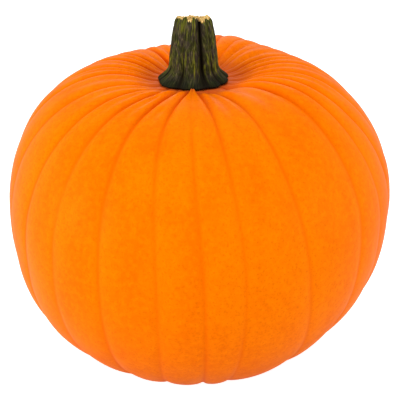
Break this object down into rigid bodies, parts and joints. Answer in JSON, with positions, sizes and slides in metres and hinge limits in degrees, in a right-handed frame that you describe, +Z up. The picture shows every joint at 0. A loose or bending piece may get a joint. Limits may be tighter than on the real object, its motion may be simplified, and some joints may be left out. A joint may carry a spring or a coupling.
{
  "type": "pumpkin",
  "caption": "Whole ribbed carving pumpkin with a dry ridged stem, standing on a small flat of its base.",
  "frame": {"origin": "middle of the base, on the surface that the pumpkin stands on", "axes": "+Z up along the stem, -Y the side that faces the viewer, +X to the viewer's right"},
  "size_m": [0.2776, 0.2813, 0.2557],
  "materials": {
    "skin": "waxy satin rind, orange, slightly redder in the seams",
    "stem": "dry, matt and furrowed, dark green with paler streaks, straw-coloured at the cut"
  },
  "bodies": {
    "root": {"fruit": "skin", "stem": "stem"}
  },
  "joints": []
}
